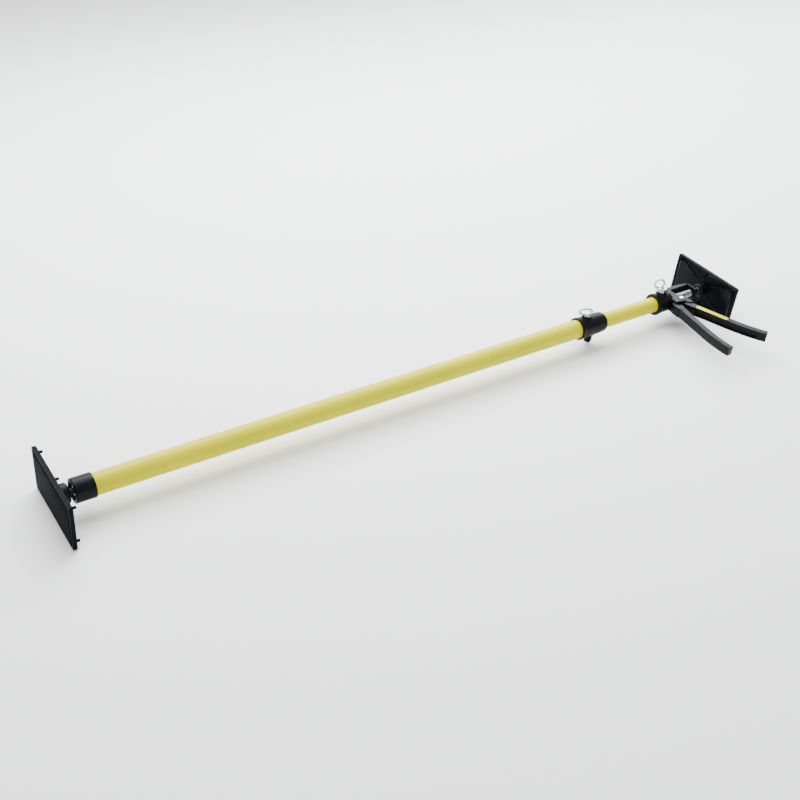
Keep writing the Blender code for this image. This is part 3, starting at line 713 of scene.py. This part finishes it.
def collar():
    """Flanged collar with a screw boss on top, a fixing boss with its gusset below, and mould seams."""
    body = [
        (COLLAR_START, OUTER_R + GAP, 0.3), (COLLAR_START, 17.6, 0.5), (COLLAR_START + 0.8, FLANGE_R, 0.5),
        (COLLAR_START + 4.6, FLANGE_R, 0.8), (COLLAR_START + 6.2, 17.2, 0.8), (COLLAR_START + 38, 16.8, 8.0),
        (COLLAR_END - 3, 15.9, 2.0), (COLLAR_END, 14.6, 1.4), (COLLAR_END, INNER_R + GAP, 0.4),
        (COLLAR_STEP_X, INNER_R + GAP), (COLLAR_STEP_X, OUTER_R + GAP),
    ]
    screw, boss = (COLLAR_SCREW_X, 0, 0), (COLLAR_BOSS_X, 0, 0)
    top = turned([(15.9, 0), (15.9, 9.0), (17.6, 8.2, 1.0), (19.0, 7.4, 0.8), (20.2, 6.6, 0.6), (20.2, 0)],
                 "Z", screw, 64)
    low = turned([(-30.5, 0), (-30.5, 5.9, 0.9), (-15.6, 6.9), (-15.5, 0)], "Z", boss, 64)
    gusset = extruded([(COLLAR_BOSS_X, -3.2), (COLLAR_BOSS_X + 19, -3.2),
                       (COLLAR_BOSS_X + 19, 3.2), (COLLAR_BOSS_X, 3.2)], -26.0, -15.6)
    for vert in gusset.verts:
        if vert.co.z < -20 and vert.co.x > COLLAR_BOSS_X + 1:
            vert.co.z = -16.2
    seams = [block((COLLAR_START + 6, side * 16.4 - 0.9, -0.35), (COLLAR_END - 8, side * 16.4 + 0.9, 0.35))
             for side in (-1, 1)]
    shank_hole_r, head_hole_r = 2.1, 3.8
    cuts = [bar(12.6, 22, INSERT_R + GAP, "Z", screw), bar(-33, -12.8, shank_hole_r, "Z", boss),
            bar(-33, -28.0, head_hole_r, "Z", boss)]
    made = combined("collar_moulding", [turned(body, sides=128), top, low, gusset] + seams, cuts)
    finish_piece(moulded(made, 0.5, 4), "black_plastic", "pole", "collar_body", sharp=None)
    wing_screw("collar_screw", "collar_wing_screw", "collar_knob", COLLAR_SCREW_X, tip=16.5, base=20.6,
               base_r=4.6, base_top=22.6, loop_z=27.7, half_x=10.4, half_z=5.2, shift=3.6)


# Pump grip ---------------------------------------------------------------------------------------

TRIGGER_TIP_Y, TRIGGER_SLOPE = -155.0, 0.36
# A lever's centre line: root x and y, tip y, slope, and the curl of its last stretch towards +X
TRIGGER_LINE = (PIVOT_X, PIVOT_Y, TRIGGER_TIP_Y, TRIGGER_SLOPE, 8.0)
HANDLE_LINE = (1044.0, -21.0, -158.0, -0.16, 7.0)
CURL_START = 0.6                # share of a lever's length where its curl starts
LEVER_Z = 7.5                   # half of the levers' depth
CAM_Z = 9.0                     # half of the cam's depth
INLAY_REACH = 4.2               # half of the inlay's width
CHEEK_IN, CHEEK_OUT = 9.4, 11.4  # faces of the housing's two cheeks, from the middle


def lever_point(line, share):
    """Centre of a lever and the slope of its direction, at a share of its length."""
    root_x, root_y, tip_y, slope, curl = line
    length = root_y - tip_y
    along = length * share
    curled = 1 - CURL_START
    bend = max(0.0, (share - CURL_START) / curled)
    lean = slope + curl * 2 * bend / (curled * length)
    return root_x + slope * along + curl * bend ** 2, root_y - along, lean


def lever_outline(line, half_width, steps=40):
    """Outline round a lever's centre line; half_width gives its half width at a share of its length."""
    left, right = [], []
    for index in range(steps + 1):
        share = index / steps
        x, y, lean = lever_point(line, share)
        half = half_width(share) / hypot(1, lean)
        left.append((x - half, y - half * lean))
        right.append((x + half, y + half * lean))
    return right + left[::-1]


def handle_half_width(share):
    """The fixed handle is widest at its root."""
    return 5.0 + 2.4 * max(0.0, 1 - share / 0.3) ** 1.5


def trigger_half_width(share):
    """The trigger is widest at its root."""
    return 5.6 + 1.6 * max(0.0, 1 - share / 0.35)


def lever_channel(line, side, first, last, depth, steps=24):
    """Cuts a channel along a lever's -X side (-1) or +X side (1), between two shares of its length."""
    near, far = [], []
    for index in range(steps + 1):
        x, y, _ = lever_point(line, first + (last - first) * index / steps)
        near.append((x + side * (4.8 - depth), y))
        far.append((x + side * 12.0, y))
    return extruded(near + far[::-1], 1.8 - LEVER_Z, LEVER_Z - 1.8)


def housing():
    """Rear sleeve, frame round the spring bay and fixed handle in one moulding, with the clamp screw."""
    web_back = WEB_END - 0.6
    sleeve = [
        (SLEEVE_START, INNER_R + GAP, 0.4), (SLEEVE_START, 17.2, 0.7), (SLEEVE_START + 0.8, FLANGE_R, 0.7),
        (SLEEVE_START + 5.6, FLANGE_R, 0.9), (SLEEVE_START + 7.2, 16.9, 0.9), (web_back, 16.3, 0.5),
        (web_back, ROD_R), (SLEEVE_STEP_X, ROD_R), (SLEEVE_STEP_X, INNER_R + GAP),
    ]
    frame_outline = rounded([
        (1041.0, 15.0), (1047.0, 17.4, 3), (1086.0, 16.5, 6), (1099.0, 14.0, 6), (NOSE_END, 8.0, 4),
        (NOSE_END, -9.0, 2.5), (NOSE_START - 0.01, -9.0, 1.2), (NOSE_START - 0.01, 8.6, 1), (1059.0, 8.6, 1),
        (1059.0, -9.0, 3), (1066.0, -13.0, 4), (1066.6, -20.0, 4), (1062.0, -26.0, 4), (1056.0, -27.0, 2),
        (1041.0, -24.0),
    ], 6)
    handle = extruded(lever_outline(HANDLE_LINE, handle_half_width), -LEVER_Z, LEVER_Z)
    place = (HOUSING_SCREW_X, 0, 0)
    boss = turned([(13.6, 0), (13.6, 9.2), (17.0, 8.8, 0.8), (21.8, 8.4, 0.5), (22.8, 7.4, 0.6), (22.8, 0)],
                  "Z", place, 64)
    guard = extruded(rounded([(1036.6, -20.0), (1034.0, -27.0, 3), (1034.6, -39.0, 3), (1038.0, -45.0, 3),
                              (1042.0, -40.0), (1042.0, -20.0)], 6), -8.0, 8.0)
    cuts = [
        block((WEB_END, -28, -CHEEK_IN), (NOSE_START, 8.6, CHEEK_IN)),
        bar(11.0, 24, INSERT_R + GAP, "Z", place), bar(-14, 14, PIN_R + GAP, "Z", (PIVOT_X, PIVOT_Y, 0)),
        block((1045.6, 5, -5.2), (1053.6, 20, 5.2)), bar(1098, 1107, 6.8), bar(1039.4, 1046.4, 4.6),
        lever_channel(HANDLE_LINE, 1, 0.26, 0.93, 3.4),
    ]
    frame = extruded(frame_outline, -CHEEK_OUT, CHEEK_OUT)
    made = combined("housing_moulding", [turned(sleeve, sides=128), frame, handle, boss, guard], cuts)
    finish_piece(moulded(made, 0.55, 4), "black_plastic", "grip", "housing", sharp=None)
    wing_screw("housing_screw", "housing_wing_screw", "housing_knob", HOUSING_SCREW_X, tip=12.9, base=23.2,
               base_r=8.0, base_top=29.4, loop_z=36.2, half_x=7.8, half_z=7.8, shift=6.5, six_sided=True)


def pivot_and_bush():
    """Rivet that the trigger turns on, and the guide bush of the rod in the housing's nose."""
    outer, tip, head_r = CHEEK_OUT + GAP, 12.9, 4.0
    pin = [(-tip, 0), (-tip, 3.2, 0.5), (-12.3, head_r, 0.4), (-outer, head_r, 0.1), (-outer, PIN_R),
           (outer, PIN_R), (outer, head_r, 0.1), (12.3, head_r, 0.4), (tip, 3.2, 0.5), (tip, 0)]
    body = raw_object("trigger_rivet", turned(pin, "Z", (PIVOT_X, PIVOT_Y, 0), 48))
    finish_piece(body, "zinc", "grip", "trigger_pin")

    bore_r, body_r, flange_r = ROD_R + GAP, 6.5, 8.0
    bush = [(NOSE_START - BUSH_FLANGE, bore_r, 0.2), (NOSE_START - BUSH_FLANGE, flange_r, 0.4),
            (NOSE_START - GAP, flange_r, 0.1), (NOSE_START - GAP, body_r),
            (NOSE_END, body_r, 0.3), (NOSE_END, bore_r, 0.2)]
    finish_piece(raw_object("nose_bush", turned(bush, sides=64)), "black_plastic", "grip", "rod_guide_bush")


def inlay_outline(inset):
    """Long outline with round ends along the trigger, drawn in by the inset."""
    length, reach = PIVOT_Y - TRIGGER_TIP_Y, INLAY_REACH
    half = reach - inset
    points = []
    direction = Vector((TRIGGER_SLOPE, -1.0)).normalized()
    across = Vector((-direction.y, direction.x))
    for centre_along, start in ((0.58 * length - reach, -90), (0.19 * length + reach, 90)):
        centre = Vector((PIVOT_X, PIVOT_Y)) + Vector((TRIGGER_SLOPE, -1.0)) * centre_along
        for step in range(19):
            angle = radians(start + 10 * step)
            points.append(tuple(centre + half * (cos(angle) * direction + sin(angle) * across)))
    return points


def trigger():
    """Trigger with its forked cam round the rod, and the inlay sunk in its upper face."""
    outline = lever_outline(TRIGGER_LINE, trigger_half_width)
    cam_x, cam_y, cam_r = 1056.5, -3.0, 3.0
    cam = extruded(rounded([
        (cam_x - cam_r, cam_y - 2.0, 1), (cam_x - 2.4, cam_y + 2.6, 2), (cam_x + 2.4, cam_y + 2.6, 2),
        (cam_x + cam_r, cam_y - 1.0, 2), (cam_x + 2.6, cam_y - 4.0, 2), (PIVOT_X + 5.0, PIVOT_Y + 3.4, 3),
        (PIVOT_X + 12.0, PIVOT_Y + 1.5, 3), (PIVOT_X + 14.0, PIVOT_Y - 6.0, 4),
        (PIVOT_X + 12.5, PIVOT_Y - 17.0), (PIVOT_X + 5.8, PIVOT_Y - 12.0),
        (PIVOT_X - 5.8, PIVOT_Y - 2.0), (PIVOT_X - 5.6, PIVOT_Y + 2.0, 3),
    ], 5), -CAM_Z, CAM_Z)
    cuts = [
        block((1040, -9.5, -ROD_R - 0.7), (1075, 6, ROD_R + 0.7)),
        bar(-14, 14, PIN_R + GAP, "Z", (PIVOT_X, PIVOT_Y, 0)),
        extruded(inlay_outline(0.0), LEVER_Z - 0.6, LEVER_Z + 0.6),
        lever_channel(TRIGGER_LINE, -1, 0.22, 0.93, 3.2),
    ]
    made = combined("trigger_moulding", [extruded(outline, -LEVER_Z, LEVER_Z), cam], cuts)
    finish_piece(moulded(made, 0.45, 4), "black_plastic", "trigger", "trigger", sharp=None)
    inlay = extruded(inlay_outline(0.3), LEVER_Z - 0.3, LEVER_Z + 0.12)
    body = beveled(raw_object("trigger_label_plain", inlay), 0.12, 2)
    finish_piece(body, "yellow_inlay", "trigger", "trigger_inlay")


def spring():
    """Wound spring with closed end turns."""
    low, high = span("return_spring")
    wire_r, coil_r, turns, closed_turns, per_turn = 0.75, 5.25, 11, 0.8, 32
    start, end = low.x + wire_r, high.x - wire_r
    path, normals = [], []
    total = turns * per_turn
    for index in range(total + 1):
        angle = 2 * pi * index / per_turn
        turn = index / per_turn
        if turn < closed_turns:
            along = start
        elif turn > turns - closed_turns:
            along = end
        else:
            part = (turn - closed_turns) / (turns - 2 * closed_turns)
            along = start + (end - start) * part
        outward = Vector((0, cos(angle), sin(angle)))
        path.append(Vector((along, 0, 0)) + coil_r * outward)
        normals.append(outward)
    body = raw_object("return_spring_coil", swept(path, normals, wire_r, 12, closed=False))
    finish_piece(body, "zinc", "grip", "return_spring", sharp=60)
    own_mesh(body)


def rod():
    """Pump rod, a plain round bar."""
    low, high = span("pump_rod")
    outline = [(low.x, 0), (low.x, ROD_R, 0.6), (high.x, ROD_R, 0.6), (high.x, 0)]
    finish_piece(raw_object("pump_rod_bar", turned(outline, sides=64)), "steel", "rod", "pump_rod", sharp=50)


def dress_cad_nodes():
    """Gives the CAD nodes that stay on show the same procedural materials."""
    slots = {row["node"]: row["material_slot"] for row in frame["record"]["subparts"]}
    for name, obj in frame["nodes"].items():
        if not obj.material_slots:
            obj.data.materials.append(None)
        for place in obj.material_slots:
            place.material = LOOKS[slots[name]]


# Studio ------------------------------------------------------------------------------------------

MIDDLE = (0.57, 0, 0)           # of the closed pole, in metres, as are the lights' and camera's places
FLOOR_SIZE, FLOOR_DROP = 20, 0.0005
HORIZON, ZENITH = 0.8, 1.0      # strength of the sky
LIGHTS = [                      # name, place, target, size, power in watts, colour
    ("key_overhead", (0.6, 0.55, 1.5), MIDDLE, (2.2, 0.7), 42, (0.98, 0.99, 1.0)),
    ("back_softbox", (1.6, 1.15, 1.05), (1.6, 0, 0), (3.2, 0.7), 110, (0.93, 0.97, 1.0)),
    ("fill_front", (-0.6, -1.9, 0.9), MIDDLE, (1.5, 1.2), 4, (1, 1, 1)),
]
CAMERA_PLACE = (-0.275, -1.046, 0.954)
CAMERA_RIGHT, CAMERA_BACK = (0.843, -0.533, 0.072), (-0.464, -0.653, 0.598)
CAMERA_LENS, CAMERA_SHIFT_X, CAMERA_SHIFT_Y = 50.7, 0.034, -0.004


def area_light(name, place, target, size, power, colour):
    """Rectangular soft light that faces its target."""
    data = bpy.data.lights.new(name, "AREA")
    data.shape = "RECTANGLE"
    data.size, data.size_y = size
    data.energy = power
    data.color = colour
    light = bpy.data.objects.new(name, data)
    light.location = place
    light.rotation_euler = (Vector(target) - Vector(place)).to_track_quat("-Z", "Y").to_euler()
    bpy.context.scene.collection.objects.link(light)


def studio():
    """Pale paper floor, a sky that is a little darker at the horizon, and the soft lights."""
    bm = bmesh.new()
    bmesh.ops.create_grid(bm, x_segments=2, y_segments=2, size=FLOOR_SIZE)
    mesh = bpy.data.meshes.new("studio_floor")
    bm.to_mesh(mesh)
    bm.free()
    floor = bpy.data.objects.new("studio_floor", mesh)
    floor.location = (MIDDLE[0], MIDDLE[1], FLOOR_Z - FLOOR_DROP)
    bpy.context.scene.collection.objects.link(floor)
    paper, _, shader = new_material("studio_paper", 0.9)
    shader.inputs["Base Color"].default_value = (0.97, 0.97, 0.97, 1)
    mesh.materials.append(paper)

    world = bpy.data.worlds.new("studio_world")
    world.use_nodes = True
    tree = world.node_tree
    sky = tree.nodes["Background"]
    sky.inputs["Color"].default_value = (1, 1, 1, 1)
    place = tree.nodes.new("ShaderNodeTexCoord")
    height = tree.nodes.new("ShaderNodeSeparateXYZ")
    tree.links.new(place.outputs["Generated"], height.inputs["Vector"])
    tree.links.new(spread(tree, height.outputs["Z"], HORIZON, ZENITH), sky.inputs["Strength"])
    bpy.context.scene.world = world

    for light in LIGHTS:
        area_light(*light)


def camera():
    """Looks along the pole from above its foot end, on the side of the levers."""
    data = bpy.data.cameras.new("camera")
    data.sensor_width = 36
    data.lens = CAMERA_LENS
    data.shift_x, data.shift_y = CAMERA_SHIFT_X, CAMERA_SHIFT_Y
    data.clip_start, data.clip_end = 0.01, 50
    made = bpy.data.objects.new("camera", data)
    right = Vector(CAMERA_RIGHT).normalized()
    back = Vector(CAMERA_BACK).normalized()
    up = back.cross(right).normalized()
    right = up.cross(back)
    turn = Matrix((right, up, back)).transposed().to_4x4()
    made.matrix_world = Matrix.Translation(CAMERA_PLACE) @ turn
    bpy.context.scene.collection.objects.link(made)
    bpy.context.scene.camera = made


camera()
studio()
tube("outer_tube_painted", "outer_tube", OUTER_R, "yellow_paint", "pole")
tube("inner_tube_painted", "inner_tube", INNER_R, "yellow_paint", "grip")
swivel_plate("foot", FOOT_BALL_R, FOOT_BALL_X, FOOT_HUB_R)
swivel_plate("top", TOP_BALL_R, TOP_BALL_X, TOP_HUB_R)
foot_stud()
foot_cap()
top_stud()
collar()
housing()
pivot_and_bush()
trigger()
spring()
rod()
dress_cad_nodes()
